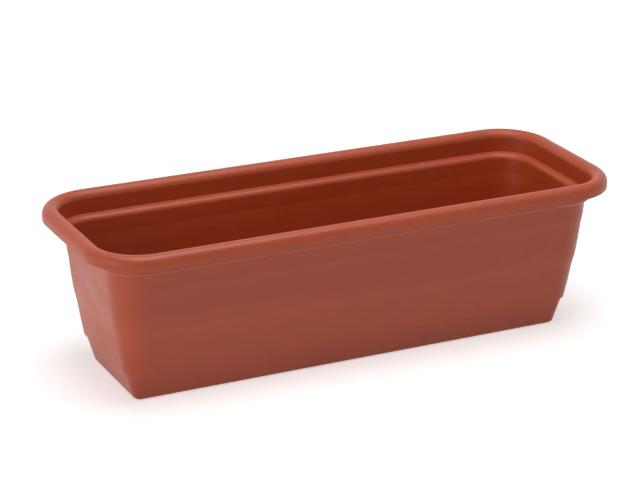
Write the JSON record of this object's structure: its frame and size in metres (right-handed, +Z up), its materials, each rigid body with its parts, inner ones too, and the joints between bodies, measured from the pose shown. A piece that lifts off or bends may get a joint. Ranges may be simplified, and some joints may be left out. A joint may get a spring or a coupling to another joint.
{
  "type": "window box planter",
  "caption": "Long plastic window box with a rolled rim, an inner nesting ledge, softly stepped tapering walls and a drained floor, standing in a flared drip tray.",
  "frame": {"origin": "middle of the footprint, on the surface that the tray stands on", "axes": "+X along the box, +Y from the front to the back, +Z up"},
  "size_m": [0.6, 0.2214, 0.1756],
  "materials": {
    "trough": "satin moulded, terracotta red",
    "drip_tray": "satin moulded, terracotta red"
  },
  "bodies": {
    "tray_body": {"drip_tray": "drip_tray"},
    "trough_body": {"trough": "trough"}
  },
  "joints": [
    {"name": "trough_lift", "type": "slide", "parent": "tray_body", "child": "trough_body", "axis": [0, 0, 1], "range_m": [0, 0.05]}
  ]
}
